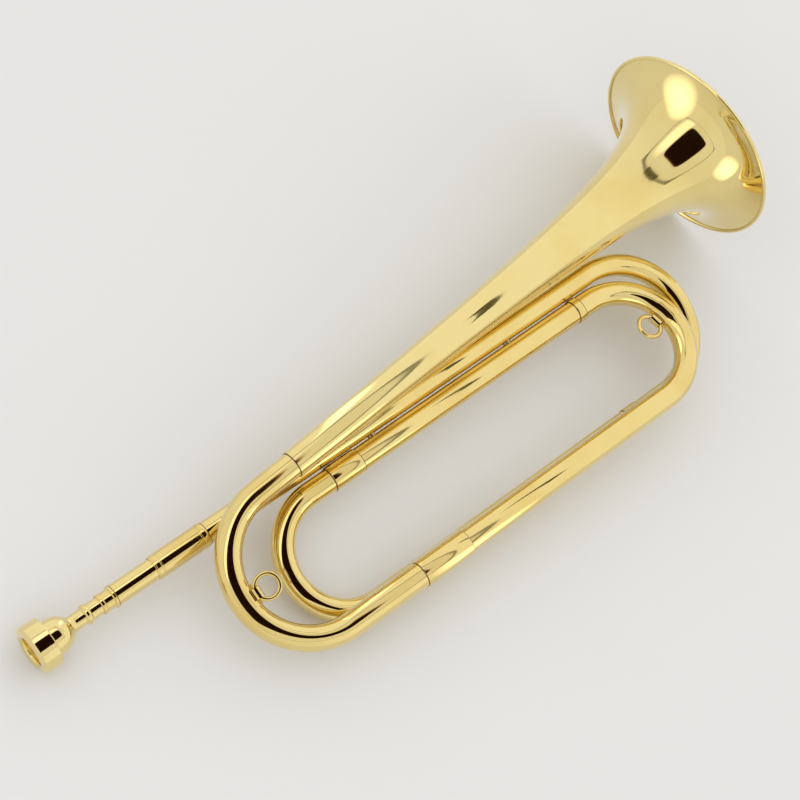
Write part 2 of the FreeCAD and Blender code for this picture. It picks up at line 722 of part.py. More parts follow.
def lay_down():
    """Turn the finished instrument into its rest attitude and put its origin below it."""
    rest = Rotation(Y_AXIS, S["rest_tilt_along"].value).multiply(
        Rotation(X_AXIS, S["rest_tilt_across"].value))
    turn = Placement(Vector(), rest)
    box = FreeCAD.BoundBox()
    for piece in pieces:
        turned_shape = piece.Shape.copy()
        turned_shape.transformShape(turn.toMatrix(), True)
        box.add(turned_shape.optimalBoundingBox())
    shift = Vector(-(box.XMin + box.XMax) / 2, -(box.YMin + box.YMax) / 2, -box.ZMin)
    whole = Placement(shift, rest)
    for piece in pieces:
        piece.Placement = whole.multiply(piece.Placement)
    doc.recompute()
    print("rest placement", [round(value, 5) for value in whole.Base],
          [round(value, 8) for value in rest.Q])


def check_and_export():
    """Stop on any failed object, then write one file for each sub-part."""
    failed = [item.Name for item in doc.Objects
              if "Invalid" in item.State or "Error" in item.State]
    if failed:
        raise RuntimeError(f"objects that did not build: {failed}")
    os.makedirs("parts", exist_ok=True)
    for piece in pieces:
        shape = piece.Shape
        if shape.isNull() or not shape.isValid() or not shape.Solids:
            raise RuntimeError(f"{piece.Label} has no valid solid")
        shape.exportStep(f"parts/{piece.Label}.step")
        print(f"{piece.Label:22s} solids {len(shape.Solids)} volume {shape.Volume:9.1f}")


build_mouthpiece()
build_tuning_slide()
build_long_tubes()
build_bows()
build_ferrules()
build_bell()
build_lanyard_rings()
build_solder_bridges()
doc.recompute()
lay_down()
check_and_export()
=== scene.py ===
"""A valveless two-coil bugle of polished, lacquered brass, lying on a pale studio floor."""

import json
import math

import bpy
from mathutils import Matrix, Vector


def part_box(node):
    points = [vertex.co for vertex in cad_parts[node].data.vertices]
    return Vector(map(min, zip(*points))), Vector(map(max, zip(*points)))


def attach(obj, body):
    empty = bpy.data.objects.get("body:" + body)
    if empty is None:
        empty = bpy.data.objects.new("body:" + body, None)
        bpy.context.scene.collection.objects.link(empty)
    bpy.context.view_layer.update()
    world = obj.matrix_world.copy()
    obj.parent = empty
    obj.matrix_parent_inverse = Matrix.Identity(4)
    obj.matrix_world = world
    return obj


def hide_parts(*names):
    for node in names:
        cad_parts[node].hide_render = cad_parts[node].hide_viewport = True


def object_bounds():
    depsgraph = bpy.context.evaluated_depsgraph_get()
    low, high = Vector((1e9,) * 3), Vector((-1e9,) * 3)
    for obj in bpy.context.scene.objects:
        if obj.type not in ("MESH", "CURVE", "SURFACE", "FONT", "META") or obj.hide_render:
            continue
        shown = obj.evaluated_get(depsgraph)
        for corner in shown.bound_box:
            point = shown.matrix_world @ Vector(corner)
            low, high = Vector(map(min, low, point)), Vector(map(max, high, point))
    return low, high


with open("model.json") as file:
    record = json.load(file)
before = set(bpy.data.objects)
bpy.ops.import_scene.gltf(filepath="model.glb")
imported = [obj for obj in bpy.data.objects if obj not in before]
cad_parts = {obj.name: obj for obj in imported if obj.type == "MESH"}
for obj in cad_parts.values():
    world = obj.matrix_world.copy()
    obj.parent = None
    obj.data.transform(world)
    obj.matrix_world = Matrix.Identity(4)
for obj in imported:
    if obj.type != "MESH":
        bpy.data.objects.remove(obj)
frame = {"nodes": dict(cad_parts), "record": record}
CAD_LOW, CAD_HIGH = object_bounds()

MM = 0.001
JOINTS = {joint["name"]: joint for joint in frame["record"]["behaviour"]["joints"]}
ALONG = -Vector(JOINTS["mouthpiece_pull"]["axis"]).normalized()
ACROSS = -Vector(JOINTS["left_ring_swing"]["axis"]).normalized()
UPWARD = ALONG.cross(ACROSS)


# ---------------------------------------------------------------- the instrument's own axes

def middle_of(node):
    """The middle of a node's box in the frame."""
    low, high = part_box(node)
    return (Vector(low) + Vector(high)) / 2


LEAD_POINT = middle_of("lead_pipe")
LEAD_MIDDLE_X = -10.0


def spot(x, across=0.0, upward=0.0):
    """A point in millimetres in the instrument's own axes, which start on the lead pipe's axis."""
    return LEAD_POINT + (ALONG * (x - LEAD_MIDDLE_X) + ACROSS * across + UPWARD * upward) * MM


# ---------------------------------------------------------------- node helpers

def new_material(name):
    """An empty material, its nodes and its links."""
    material = bpy.data.materials.new(name)
    material.use_nodes = True
    nodes = material.node_tree.nodes
    nodes.clear()
    return material, nodes, material.node_tree.links


def show_surface(nodes, links, shader):
    """End a material's nodes in its surface output."""
    output = nodes.new("ShaderNodeOutputMaterial")
    links.new(shader, output.inputs["Surface"])


def noise(nodes, links, vector, scale, detail=4.0, roughness=0.5):
    """Procedural noise, whose scale is in cells per metre."""
    node = nodes.new("ShaderNodeTexNoise")
    node.inputs["Scale"].default_value = scale
    node.inputs["Detail"].default_value = detail
    node.inputs["Roughness"].default_value = roughness
    links.new(vector, node.inputs["Vector"])
    return node.outputs["Fac"]


def remap(nodes, links, value, low, high, new_low, new_high):
    """A value stretched from one range to another and clamped to it."""
    node = nodes.new("ShaderNodeMapRange")
    node.inputs["From Min"].default_value = low
    node.inputs["From Max"].default_value = high
    node.inputs["To Min"].default_value = new_low
    node.inputs["To Max"].default_value = new_high
    links.new(value, node.inputs["Value"])
    return node.outputs["Result"]


def mix_colour(nodes, links, factor, first, second):
    """The first colour where the factor is 0 and the second where it is 1."""
    node = nodes.new("ShaderNodeMix")
    node.data_type = "RGBA"
    links.new(factor, node.inputs["Factor"])
    node.inputs["A"].default_value = (*first, 1.0)
    node.inputs["B"].default_value = (*second, 1.0)
    return node.outputs["Result"]


def maths(nodes, links, operation, *values):
    """One step of arithmetic, whose values are numbers or sockets."""
    node = nodes.new("ShaderNodeMath")
    node.operation = operation
    for socket, value in zip(node.inputs, values):
        if isinstance(value, (int, float)):
            socket.default_value = value
        else:
            links.new(value, socket)
    return node.outputs["Value"]


def inside(nodes, links, low, high, soft, squareness=8.0):
    """1 inside a rounded rectangle of a flat sheet and 0 outside it, with a soft edge."""
    split = nodes.new("ShaderNodeSeparateXYZ")
    links.new(nodes.new("ShaderNodeTexCoord").outputs["Object"], split.inputs["Vector"])
    powers = []
    for value, start, end in zip((split.outputs["X"], split.outputs["Y"]), low, high):
        centred = maths(nodes, links, "SUBTRACT", value, (start + end) / 2)
        scaled = maths(nodes, links, "DIVIDE", centred, (end - start) / 2)
        powers.append(maths(nodes, links, "POWER", maths(nodes, links, "ABSOLUTE", scaled), squareness))
    total = maths(nodes, links, "ADD", *powers)
    return remap(nodes, links, total, 1.0 - soft, 1.0 + soft, 1.0, 0.0)


# ---------------------------------------------------------------- brass

CLOUD_SCALE, SPECK_SCALE, LINE_SCALE = 28.0, 900.0, 1600.0
LINE_STRETCH = (0.15, 1.0, 1.0)
LINE_DEPTH = 0.0004
LACQUER_ROUGHNESS, LACQUER_IOR = 0.02, 1.55


def brass(name, colour, deep, base_roughness, haze=0.05, bump=0.006):
    """Lacquered brass: a mirror with faint haze, polishing lines and slightly redder patches."""
    material, nodes, links = new_material(name)
    place = nodes.new("ShaderNodeTexCoord").outputs["Object"]
    stretch = nodes.new("ShaderNodeMapping")
    stretch.inputs["Scale"].default_value = LINE_STRETCH
    links.new(place, stretch.inputs["Vector"])
    cloud = noise(nodes, links, place, CLOUD_SCALE, 5.0)
    speck = noise(nodes, links, place, SPECK_SCALE, 3.0, 0.65)
    lines = noise(nodes, links, stretch.outputs["Vector"], LINE_SCALE, 2.0, 0.6)
    patches = remap(nodes, links, cloud, 0.42, 0.68, 0.0, 1.0)
    hazes = remap(nodes, links, cloud, 0.35, 0.75, 0.0, haze)
    specks = remap(nodes, links, speck, 0.3, 0.8, 0.4, 1.6)

    surface = nodes.new("ShaderNodeBsdfPrincipled")
    surface.inputs["Metallic"].default_value = 1.0
    surface.inputs["Coat Weight"].default_value = 1.0
    surface.inputs["Coat Roughness"].default_value = LACQUER_ROUGHNESS
    surface.inputs["Coat IOR"].default_value = LACQUER_IOR
    links.new(mix_colour(nodes, links, patches, colour, deep), surface.inputs["Base Color"])
    roughness = maths(nodes, links, "MULTIPLY_ADD", hazes, specks, base_roughness)
    links.new(roughness, surface.inputs["Roughness"])

    wave = nodes.new("ShaderNodeBump")
    wave.inputs["Strength"].default_value = bump
    wave.inputs["Distance"].default_value = LINE_DEPTH
    links.new(lines, wave.inputs["Height"])
    links.new(wave.outputs["Normal"], surface.inputs["Normal"])
    show_surface(nodes, links, surface.outputs["BSDF"])
    return material


SLOTS = {row["node"]: row["material_slot"] for row in frame["record"]["subparts"]}
BODIES = frame["record"]["behaviour"]["bodies"]
BODY_OF = {node: body for body, nodes in BODIES.items() for node in nodes}
MATERIALS = {
    "tube_brass": brass("tube_brass", (0.84, 0.66, 0.235), (0.79, 0.58, 0.17), 0.035),
    "bell_brass": brass("bell_brass", (0.85, 0.69, 0.27), (0.81, 0.63, 0.21), 0.04),
    "fitting_brass": brass("fitting_brass", (0.83, 0.64, 0.225), (0.77, 0.55, 0.16), 0.05),
    "mouthpiece_brass": brass("mouthpiece_brass", (0.85, 0.69, 0.28), (0.80, 0.61, 0.21), 0.04),
    "soft_solder": brass("soft_solder", (0.55, 0.40, 0.17), (0.38, 0.25, 0.10), 0.30, 0.15, 0.2),
}
# Painted shade: near-black brown metal for the thin rings at the joints, standing in for the shade in the
# corners where a ferrule, sleeve or socket meets its tube.
PAINTED_JOINT_SHADE = brass("painted_joint_shade", (0.20, 0.10, 0.03), (0.11, 0.05, 0.012), 0.45, 0.2, 0.3)
for node, piece in frame["nodes"].items():
    piece.data.materials.clear()
    piece.data.materials.append(MATERIALS[SLOTS[node]])


# ---------------------------------------------------------------- shapes turned and bent from tube

ROUND_STEPS = 128
BEND_STEPS = 96
WIRE_STEPS = 24
SHARP_ANGLE = math.radians(35)


def add_piece(name, verts, faces, node, instead=True):
    """Make a smooth piece that stands for a node of the frame, or a thin ring of painted shade that rides
    with it.
    """
    mesh = bpy.data.meshes.new(name)
    mesh.from_pydata([tuple(vert) for vert in verts], [], faces)
    mesh.validate()
    mesh.shade_smooth()
    mesh.set_sharp_from_angle(angle=SHARP_ANGLE)
    mesh.materials.append(MATERIALS[SLOTS[node]] if instead else PAINTED_JOINT_SHADE)
    piece = bpy.data.objects.new(name, mesh)
    bpy.context.scene.collection.objects.link(piece)
    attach(piece, BODY_OF[node])
    if instead:
        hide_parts(node)


def ring_faces(first, second, count):
    """Quads between two rings of points given by their first indices."""
    return [(first + i, first + (i + 1) % count, second + (i + 1) % count, second + i)
            for i in range(count)]


def lathe(name, outline, start, axis, node, instead=True):
    """Turn a closed outline of (along, radius) in millimetres about an axis."""
    side = axis.orthogonal().normalized()
    other = axis.cross(side)
    verts = []
    for along, radius in outline:
        centre = start + axis * (along * MM)
        for step in range(ROUND_STEPS):
            angle = 2 * math.pi * step / ROUND_STEPS
            verts.append(centre + (side * math.cos(angle) + other * math.sin(angle)) * (radius * MM))
    faces = []
    rings = len(outline)
    for ring in range(rings):
        faces += ring_faces(ring * ROUND_STEPS, ((ring + 1) % rings) * ROUND_STEPS, ROUND_STEPS)
    add_piece(name, verts, faces, node, instead)


def rounded(points, radius):
    """The closed outline with each corner replaced by a small arc-like curve."""
    steps = 4
    result = []
    count = len(points)
    for index, corner in enumerate(points):
        before = Vector(points[index - 1])
        after = Vector(points[(index + 1) % count])
        corner = Vector(corner)
        reach_in = min(radius, (before - corner).length * 0.45)
        reach_out = min(radius, (after - corner).length * 0.45)
        enter = corner + (before - corner).normalized() * reach_in
        leave = corner + (after - corner).normalized() * reach_out
        for step in range(steps + 1):
            t = step / steps
            result.append(tuple(enter * (1 - t) ** 2 + corner * 2 * t * (1 - t) + leave * t ** 2))
    return result


def spline(points):
    """A smooth run through points, ends included."""
    per_span = 10
    points = [Vector(point) for point in points]
    ends = [points[0] * 2 - points[1]] + points + [points[-1] * 2 - points[-2]]
    result = []
    for index in range(1, len(ends) - 2):
        p0, p1, p2, p3 = ends[index - 1:index + 3]
        for step in range(per_span):
            t = step / per_span
            square = (p0 * 2 - p1 * 5 + p2 * 4 - p3) * t * t
            cube = (p1 * 3 - p0 - p2 * 3 + p3) * t ** 3
            result.append(tuple(0.5 * (p1 * 2 + (p2 - p0) * t + square + cube)))
    result.append(tuple(points[-1]))
    return result


def arc_through(start, middle, end, steps=14):
    """Points of the circle through three points, from the first to the last."""
    (ax, ay), (bx, by), (cx, cy) = start, middle, end
    twice = 2 * (ax * (by - cy) + bx * (cy - ay) + cx * (ay - by))
    a2, b2, c2 = ax * ax + ay * ay, bx * bx + by * by, cx * cx + cy * cy
    ux = (a2 * (by - cy) + b2 * (cy - ay) + c2 * (ay - by)) / twice
    uy = (a2 * (cx - bx) + b2 * (ax - cx) + c2 * (bx - ax)) / twice
    radius = math.hypot(ax - ux, ay - uy)
    first, mid, last = (math.atan2(y - uy, x - ux) for x, y in (start, middle, end))
    turn = (last - first) % (2 * math.pi)
    if (mid - first) % (2 * math.pi) > turn:
        turn -= 2 * math.pi
    return [(ux + radius * math.cos(first + turn * step / steps),
             uy + radius * math.sin(first + turn * step / steps)) for step in range(steps + 1)]


def bent_tube(name, centres, radius, node):
    """A tube of the given outer radius in millimetres along points with their directions."""
    verts = []
    rings = []
    for size in (radius * MM, (radius - WALL) * MM):
        for point, heading, side in centres:
            other = heading.cross(side)
            rings.append(len(verts))
            for step in range(ROUND_STEPS):
                angle = 2 * math.pi * step / ROUND_STEPS
                verts.append(point + (side * math.cos(angle) + other * math.sin(angle)) * size)
    count = len(centres)
    faces = []
    for index in range(count - 1):
        faces += ring_faces(rings[index], rings[index + 1], ROUND_STEPS)
        faces += [face[::-1] for face in ring_faces(rings[count + index], rings[count + index + 1],
                                                    ROUND_STEPS)]
    faces += ring_faces(rings[count], rings[0], ROUND_STEPS)
    faces += ring_faces(rings[count - 1], rings[2 * count - 1], ROUND_STEPS)
    add_piece(name, verts, faces, node)


def wire_outline(along, radius, wire_radius):
    """The round section of a wire bent to a hoop, as points of (along, radius)."""
    angles = [2 * math.pi * step / WIRE_STEPS for step in range(WIRE_STEPS)]
    return [(along + wire_radius * math.cos(angle), radius + wire_radius * math.sin(angle))
            for angle in reversed(angles)]


def bow_centres(start, heading, across, radius, turn, leg_in, leg_out):
    """Centre line of a leg, a bend towards across and a second leg, all in millimetres."""
    normal = heading.cross(across).normalized()
    points = [(start, heading, normal)]
    bend_start = start + heading * (leg_in * MM)
    centre = bend_start + across * (radius * MM)
    for step in range(BEND_STEPS + 1):
        angle = turn * step / BEND_STEPS
        direction = heading * math.cos(angle) + across * math.sin(angle)
        point = centre + (heading * math.sin(angle) - across * math.cos(angle)) * (radius * MM)
        points.append((point, direction, normal))
    last, direction, _ = points[-1]
    points.append((last + direction * (leg_out * MM), direction, normal))
    return points


# ---------------------------------------------------------------- the pieces, in millimetres

WALL = 0.5
FERRULE_WALL = 0.45
LEAD = (0.0, 0.0)
REAR = (-78.5, 0.0)
MIDDLE = (-13.5, 0.0)
FRONT = (-79.4, 14.0)
FIRST_LEG_START, FIRST_CENTRE = 113.0, 137.5
SECOND_LEG_END, SECOND_CENTRE = -43.5, -67.3
THIRD_LEG_START, THIRD_CENTRE = 120.5, 129.5
BELL_BOW_LEG_END, BELL_BOW_CENTRE, BELL_BOW_RADIUS, BELL_BOW_OUTLET = -30.5, -91.5, 40.8, 24.5
BELL_CLIMB = math.radians(4.6)
BELL_LENGTH, BELL_RIM_RADIUS, BELL_SOCKET = 299.4, 56.8, 8.0
FLARE_REACH, FLARE_POWER = 11.5, 0.61
RIM_WIRE_RADIUS = 1.1
RING_RADIUS, RING_WIRE_RADIUS = 6.4, 1.28
SHANK_START, SHANK_END, LEAD_PIPE_START = -181.5, -134.5, -133.0
SLEEVE_START, SLEEVE_LENGTH = -157.2, 32.4
RECEIVER_START, MOUTHPIECE_START = -190.0, -231.3
SEAM_SINK, SEAM_PROUD, BELL_SEAM_PROUD = 0.02, 0.12, 0.15
SEAM_BEFORE, SEAM_LENGTH = 0.5, 0.4
DIAMETERS = {
    "tuning_shank": 11.9, "lead_pipe": 12.5, "outer_right_bow": 12.5, "rear_long_tube": 12.6,
    "inner_left_bow": 13.0, "middle_tube": 13.3, "inner_right_bow": 13.4, "front_long_tube": 13.5,
    "bell_bow": 14.1,
}


def straight_tube(node, start, end, across=0.0, upward=0.0):
    """A straight tube between two stations along the instrument."""
    radius = DIAMETERS[node] / 2
    outline = [(0, radius - WALL), (0, radius), (end - start, radius), (end - start, radius - WALL)]
    lathe(f"{node}_polished", outline, spot(start, across, upward), ALONG, node)


def bow(node, start_x, first, second, heading, radius, turn, leg_in, leg_out):
    """A bow that leaves one tube's line and turns towards another's."""
    start = spot(start_x, *first)
    across = (spot(start_x, *second) - start).normalized()
    centres = bow_centres(start, heading, across, radius, turn, leg_in, leg_out)
    bent_tube(f"{node}_polished", centres, DIAMETERS[node] / 2, node)


def half_bow(node, leg_end, bend_start, first, second, heading):
    """A bow of half a turn with two equal legs."""
    radius = math.hypot(first[0] - second[0], first[1] - second[1]) / 2
    leg = abs(bend_start - leg_end)
    bow(node, leg_end, first, second, heading, radius, math.pi, leg, leg)


def build_straight_tubes():
    """The straight tubes, from the tuning shank to the front long tube."""
    straight_tube("tuning_shank", SHANK_START, SHANK_END)
    straight_tube("lead_pipe", LEAD_PIPE_START, FIRST_LEG_START)
    straight_tube("rear_long_tube", SECOND_LEG_END, FIRST_LEG_START, *REAR)
    straight_tube("middle_tube", SECOND_LEG_END, THIRD_LEG_START, *MIDDLE)
    straight_tube("front_long_tube", BELL_BOW_LEG_END, THIRD_LEG_START, *FRONT)


def build_bows():
    """The four bows along the air path."""
    half_bow("outer_right_bow", FIRST_LEG_START, FIRST_CENTRE, LEAD, REAR, ALONG)
    half_bow("inner_left_bow", SECOND_LEG_END, SECOND_CENTRE, REAR, MIDDLE, -ALONG)
    half_bow("inner_right_bow", THIRD_LEG_START, THIRD_CENTRE, MIDDLE, FRONT, ALONG)
    bow("bell_bow", BELL_BOW_LEG_END, FRONT, (0.0, FRONT[1]), -ALONG, BELL_BOW_RADIUS,
        math.pi - BELL_CLIMB, BELL_BOW_LEG_END - BELL_BOW_CENTRE, BELL_BOW_OUTLET + BELL_SOCKET)


# Each joint with a ferrule: the name of its rings of painted shade, its node, station and place,
# where the ferrule starts and ends from the joint, the tubes left and right of it, and the one of
# these that is straight.
FERRULES = (
    ("rear_ferrule", "rear_tube_ferrule", FIRST_LEG_START, REAR, -4, 5,
     "rear_long_tube", "outer_right_bow", "rear_long_tube"),
    ("middle_ferrule", "middle_tube_ferrule", SECOND_LEG_END, MIDDLE, -9.5, 9.5,
     "inner_left_bow", "middle_tube", "middle_tube"),
    ("middle_ring", "middle_tube_ring", THIRD_LEG_START, MIDDLE, -2.1, 2.1,
     "middle_tube", "inner_right_bow", "middle_tube"),
    ("front_ferrule", "front_tube_ferrule", BELL_BOW_LEG_END, FRONT, -15.3, 15.3,
     "bell_bow", "front_long_tube", "front_long_tube"),
)


def seam(name, node, station, radius, place=LEAD):
    """A thin ring of painted shade in the corner of a soldered joint, round a tube from a station
    onwards.
    """
    sunk, proud = radius - SEAM_SINK, radius + SEAM_PROUD
    outline = [(0, sunk), (0, proud), (SEAM_LENGTH, proud), (SEAM_LENGTH, sunk)]
    lathe(name, outline, spot(station, *place), ALONG, node, instead=False)


def build_ferrules():
    """Sleeves with rounded ends over the joints, bored to the tube on each side."""
    for _, node, joint, place, before, after, left_tube, right_tube, _ in FERRULES:
        left, right = DIAMETERS[left_tube] / 2, DIAMETERS[right_tube] / 2
        outer = max(left, right) + FERRULE_WALL
        outline = [(before, left), (before, outer), (after, outer), (after, right), (0, right), (0, left)]
        lathe(f"{node}_polished", rounded(outline, 0.3), spot(joint, *place), ALONG, node)


def build_sleeve():
    """The tuning sleeve, with a raised band at each end."""
    bore, low, band_radius, grip_radius, tube_radius = 6.0, 6.55, 6.9, 6.8, 6.25
    band, lip, bore_end, length = 3.2, 0.8, 24.2, SLEEVE_LENGTH
    outline = [(0, bore), (0, low), (lip, low), (lip, band_radius), (band, band_radius), (band, low),
               (band + lip, low), (band + lip, grip_radius), (length - band - lip, grip_radius),
               (length - band - lip, low), (length - band, low), (length - band, band_radius),
               (length - lip, band_radius), (length, low), (length, tube_radius),
               (bore_end, tube_radius), (bore_end, bore)]
    lathe("tuning_sleeve_polished", rounded(outline, 0.22), spot(SLEEVE_START), ALONG, "tuning_sleeve")


def build_receiver():
    """The stepped receiver of the mouthpiece: a bead, a collar and a plain tube."""
    outline = [(0, 4.78), (0, 5.3), (0.4, 5.65), (1.8, 5.65), (2.2, 5.3), (6.8, 5.3), (7.2, 6.3),
               (8.5, 6.3), (8.5, 5.45), (29, 5.45), (29, 4.9), (24, 4.9), (24, 4.331)]
    lathe("mouthpiece_receiver_polished", rounded(outline, 0.2), spot(RECEIVER_START), ALONG,
          "mouthpiece_receiver")


def build_mouthpiece():
    """Rounded rim, round bowl, throat, backbore, bead and tapered shank."""
    outline = arc_through((1.3, 8.0), (0.38, 8.9), (0.0, 10.2))
    outline += arc_through((0.0, 10.2), (0.26, 11.69), (1.0, 13.0))[1:]
    outline += arc_through((1.0, 13.0), (1.45, 13.36), (2.0, 13.5))[1:]
    outline += arc_through((10.2, 13.5), (10.73, 13.28), (10.95, 12.8), 6)
    outline += arc_through((10.95, 10.25), (11.06, 10.04), (11.3, 9.95), 6)
    outline += spline([(11.3, 9.95), (14.5, 9.86), (17.5, 9.35), (20.2, 8.15), (22.3, 6.45),
                       (23.7, 5.1), (26.2, 4.4)])[1:]
    outline += arc_through((31.6, 4.4), (33.4, 5.6), (35.2, 4.846))
    outline += [(63.8, 4.309), (63.8, 3.6), (22.0, 2.0)]
    outline += spline([(16.0, 2.0), (13.6, 3.6), (9.0, 6.4), (4.5, 7.6), (1.3, 8.0)])[:-1]
    lathe("mouthpiece_polished", outline, spot(MOUTHPIECE_START), ALONG, "mouthpiece")


def bell_outline():
    """The bell's wall from its socket to the rim: a horn that flares late, as a power law."""
    steps = 150
    full_reach = BELL_LENGTH + FLARE_REACH
    outer, inner = [], []
    for step in range(steps + 1):
        to_rim = full_reach * (FLARE_REACH / full_reach) ** (step / steps) - FLARE_REACH
        radius = BELL_RIM_RADIUS * (FLARE_REACH / (to_rim + FLARE_REACH)) ** FLARE_POWER
        slope = FLARE_POWER * radius / (to_rim + FLARE_REACH)
        lean = math.hypot(1, slope)
        outer.append((BELL_LENGTH - to_rim, radius))
        inner.append((BELL_LENGTH - to_rim + WALL * slope / lean, radius - WALL / lean))
    socket = DIAMETERS["bell_bow"] / 2
    inner = [(BELL_SOCKET, socket - WALL)] + [point for point in inner if point[0] > 3 * BELL_SOCKET]
    return [(0.0, socket)] + outer + inner[::-1] + [(BELL_SOCKET, socket)]


def build_bell():
    """The bell, a ring of painted shade at its socket and the rolled edge round its rim."""
    axis = ALONG * math.cos(BELL_CLIMB) + ACROSS * math.sin(BELL_CLIMB)
    bend_end = spot(BELL_BOW_CENTRE - BELL_BOW_RADIUS * math.sin(BELL_CLIMB),
                    FRONT[0] + BELL_BOW_RADIUS * (1 + math.cos(BELL_CLIMB)), FRONT[1])
    start = bend_end + axis * (BELL_BOW_OUTLET * MM)
    lathe("bell_polished", bell_outline(), start, axis, "bell")
    socket = DIAMETERS["bell_bow"] / 2
    sunk, proud = socket - SEAM_SINK, socket + BELL_SEAM_PROUD
    joint = [(-SEAM_BEFORE, sunk), (-SEAM_BEFORE, proud), (0.0, proud), (0.0, sunk)]
    lathe("bell_seam", joint, start, axis, "bell", instead=False)
    bead = wire_outline(BELL_LENGTH, BELL_RIM_RADIUS, RIM_WIRE_RADIUS)
    lathe("bell_rim_polished", bead, start, axis, "bell_rim_wire")


def build_ring(side):
    """A lanyard ring of round wire, in the plane through its hinge's axis and its own middle."""
    node = f"{side}_lanyard_ring"
    joint = JOINTS[f"{side}_ring_swing"]
    lean = middle_of(node) - Vector(joint["pos_m"])
    normal = lean.cross(Vector(joint["axis"])).normalized()
    section = wire_outline(0.0, RING_RADIUS, RING_WIRE_RADIUS)
    lathe(f"{node}_polished", section, middle_of(node), normal, node)


def build_seams():
    """Rings of painted shade at both ends of each ferrule, at the sleeve and at the receiver."""
    for name, _, joint, place, before, after, left_tube, right_tube, straight in FERRULES:
        left, right = DIAMETERS[left_tube] / 2, DIAMETERS[right_tube] / 2
        seam(f"{name}_seam_left", straight, joint + before - SEAM_BEFORE, left, place)
        seam(f"{name}_seam_right", straight, joint + after, right, place)
    seam("sleeve_seam", "lead_pipe", SLEEVE_START + SLEEVE_LENGTH, DIAMETERS["lead_pipe"] / 2)
    seam("receiver_seam", "mouthpiece_receiver", SHANK_START, DIAMETERS["tuning_shank"] / 2)


build_straight_tubes()
build_bows()
build_ferrules()
build_sleeve()
build_receiver()
build_mouthpiece()
build_bell()
build_ring("left")
build_ring("right")
build_seams()


# ---------------------------------------------------------------- floor, light and camera

FLOOR_REACH, FLOOR_GAP = 20.0, 0.0002
FLOOR_GREY, FLOOR_GRAIN = (0.86, 0.86, 0.86), 6.0


def floor_material():
    """Plain pale grey without shine and with a faint uneven grain."""
    material, nodes, links = new_material("studio_floor")
    place = nodes.new("ShaderNodeTexCoord").outputs["Object"]
    grain = noise(nodes, links, place, FLOOR_GRAIN, 3.0)
    tint = mix_colour(nodes, links, grain, FLOOR_GREY, tuple(0.97 * value for value in FLOOR_GREY))
    surface = nodes.new("ShaderNodeBsdfPrincipled")
    surface.inputs["Roughness"].default_value = 0.65
    surface.inputs["Specular IOR Level"].default_value = 0.0
    links.new(tint, surface.inputs["Base Color"])
    show_surface(nodes, links, surface.outputs["BSDF"])
    return material


def sheet_object(name, low, high, location, facing, material):
    """A flat sheet of the studio between two corners, turned to face a direction."""
    mesh = bpy.data.meshes.new(name)
    corners = [(low[0], low[1], 0), (high[0], low[1], 0), (high[0], high[1], 0), (low[0], high[1], 0)]
    mesh.from_pydata(corners, [], [(0, 1, 2, 3)])
    mesh.materials.append(material)
    piece = bpy.data.objects.new(name, mesh)
    bpy.context.scene.collection.objects.link(piece)
    piece.matrix_world = Matrix.Translation(location) @ facing
    return piece


sheet_object("floor", (-FLOOR_REACH, -FLOOR_REACH), (FLOOR_REACH, FLOOR_REACH),
             Vector((0, 0, CAD_LOW.z - FLOOR_GAP)), Matrix.Identity(4), floor_material())

# Heights and corners of the tent's sheets in metres, from the lead pipe's axis at station 0.
CEILING_HEIGHT = 0.58
CEILING_TURN = math.radians(4.0)
CEILING_SEAM = 0.018
CEILING_LOW, CEILING_HIGH = (-0.93, -0.60), (0.170, 0.45)
OPENING_LOW, OPENING_HIGH = (-0.59, -0.345), (0.072, 0.115)
BRIGHT_LOW, BRIGHT_HIGH = (-0.83, 0.130), (0.09, 0.36)
SLOT_HEIGHT = 0.38
SLOT_LOW, SLOT_HIGH = (0.170, -0.16), (0.188, 0.06)
LIGHT_WHITE = (1.0, 0.985, 0.96)
OPENING_BROWN = (1.0, 0.30, 0.08)
SLOT_GOLD = (1.0, 0.9, 0.6)
SURROUND_LIGHT, PANEL_LIGHT, STRIP_LIGHT = 0.28, 0.86, 0.55
OPENING_DIMMING, SLOT_LIGHT, SOFT_BOX_LIGHT = 0.015, 0.10, 2.0


def ceiling_material():
    """The top of a light tent, with a bright strip beside a dark opening."""
    material, nodes, links = new_material("tent_ceiling")
    panel = inside(nodes, links, CEILING_LOW, CEILING_HIGH, 0.1)
    strip = inside(nodes, links, BRIGHT_LOW, BRIGHT_HIGH, 0.8)
    opening = inside(nodes, links, OPENING_LOW, OPENING_HIGH, 0.12)
    light = remap(nodes, links, panel, 0.0, 1.0, SURROUND_LIGHT, PANEL_LIGHT)
    light = maths(nodes, links, "ADD", light, remap(nodes, links, strip, 0.0, 1.0, 0.0, STRIP_LIGHT))
    dimming = remap(nodes, links, opening, 0.0, 1.0, 1.0, OPENING_DIMMING)
    light = maths(nodes, links, "MULTIPLY", light, dimming)
    glow = nodes.new("ShaderNodeEmission")
    links.new(mix_colour(nodes, links, opening, LIGHT_WHITE, OPENING_BROWN), glow.inputs["Color"])
    links.new(light, glow.inputs["Strength"])
    show_surface(nodes, links, glow.outputs["Emission"])
    return material


def plain_glow(nodes, colour, strength):
    """Even light of one colour."""
    glow = nodes.new("ShaderNodeEmission")
    glow.inputs["Color"].default_value = (*colour, 1.0)
    glow.inputs["Strength"].default_value = strength
    return glow.outputs["Emission"]


def slot_material():
    """A dim gap in the tent."""
    material, nodes, links = new_material("tent_slot")
    show_surface(nodes, links, plain_glow(nodes, SLOT_GOLD, SLOT_LIGHT))
    return material


